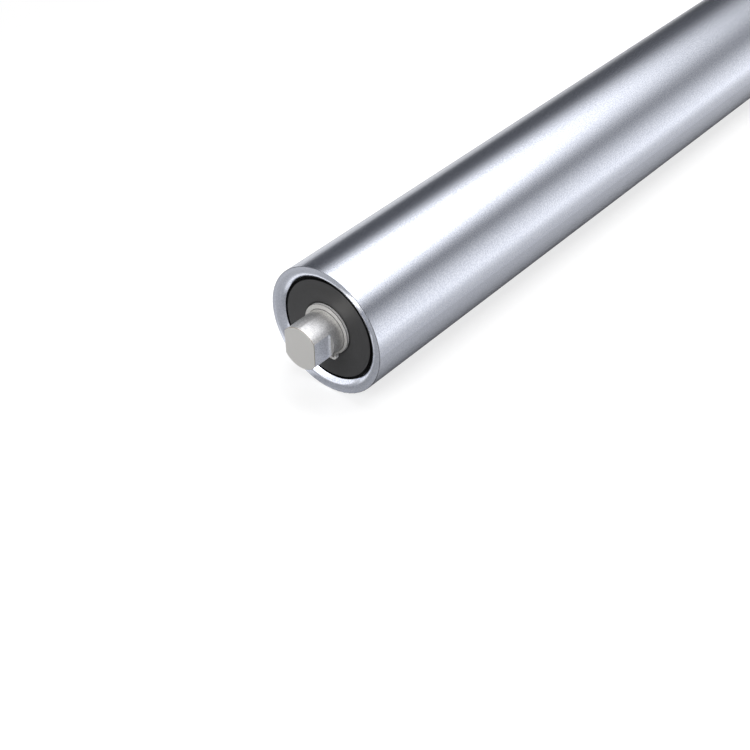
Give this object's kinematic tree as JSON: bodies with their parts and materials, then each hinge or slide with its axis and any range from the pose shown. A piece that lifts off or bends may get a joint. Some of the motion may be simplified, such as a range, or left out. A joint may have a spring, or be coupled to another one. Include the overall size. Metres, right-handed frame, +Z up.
{
  "type": "conveyor roller",
  "caption": "Steel conveyor roller: a bright tube with rolled-in ends turning on sealed ball bearings about a fixed axle with flats.",
  "frame": {"origin": "centre of the roller, on the axle's axis, midway between the two ends", "axes": "+Y along the axle from the near end to the far end, +Z up with the axle's flats standing upright, +X across, square to the flats"},
  "size_m": [0.06, 0.531, 0.06],
  "materials": {
    "tube_steel": "bright drawn steel, lightly brushed",
    "axle_steel": "bright drawn bar, satin",
    "housing_steel": "pressed sheet steel, plain",
    "bearing_steel": "ground",
    "ball_steel": "polished",
    "cage_nylon": "moulded, natural",
    "cover_plastic": "moulded, satin charcoal",
    "labyrinth_plastic": "moulded, black",
    "seal_rubber": "matt black",
    "circlip_steel": "spring steel, satin"
  },
  "bodies": {
    "axle": {"axle": "axle_steel", "near_bearing_inner_ring": "bearing_steel", "near_end_cover": "cover_plastic", "near_circlip": "circlip_steel", "far_bearing_inner_ring": "bearing_steel", "far_end_cover": "cover_plastic", "far_circlip": "circlip_steel"},
    "roller": {"roller_tube": "tube_steel", "near_bearing_housing": "housing_steel", "near_bearing_outer_ring": "bearing_steel", "near_bearing_outer_seal": "seal_rubber", "near_bearing_inner_seal": "seal_rubber", "near_labyrinth_ring": "labyrinth_plastic", "near_rear_seal": "seal_rubber", "far_bearing_housing": "housing_steel", "far_bearing_outer_ring": "bearing_steel", "far_bearing_outer_seal": "seal_rubber", "far_bearing_inner_seal": "seal_rubber", "far_labyrinth_ring": "labyrinth_plastic", "far_rear_seal": "seal_rubber"},
    "near_cage_set": {"near_bearing_balls": "ball_steel", "near_ball_cage": "cage_nylon"},
    "far_cage_set": {"far_bearing_balls": "ball_steel", "far_ball_cage": "cage_nylon"}
  },
  "joints": [
    {"name": "roller_spin", "type": "hinge", "parent": "axle", "child": "roller", "pos_m": [0, 0, 0], "axis": [0, 1, 0], "continuous": true},
    {"name": "near_cage_spin", "type": "hinge", "parent": "axle", "child": "near_cage_set", "pos_m": [0, -0.2311, 0], "axis": [0, 1, 0], "continuous": true},
    {"name": "far_cage_spin", "type": "hinge", "parent": "axle", "child": "far_cage_set", "pos_m": [0, 0.2311, 0], "axis": [0, 1, 0], "continuous": true}
  ],
  "couplings": [
    {"joint": "near_cage_spin", "follows": "roller_spin", "ratio": 0.6185},
    {"joint": "far_cage_spin", "follows": "roller_spin", "ratio": 0.6185}
  ]
}
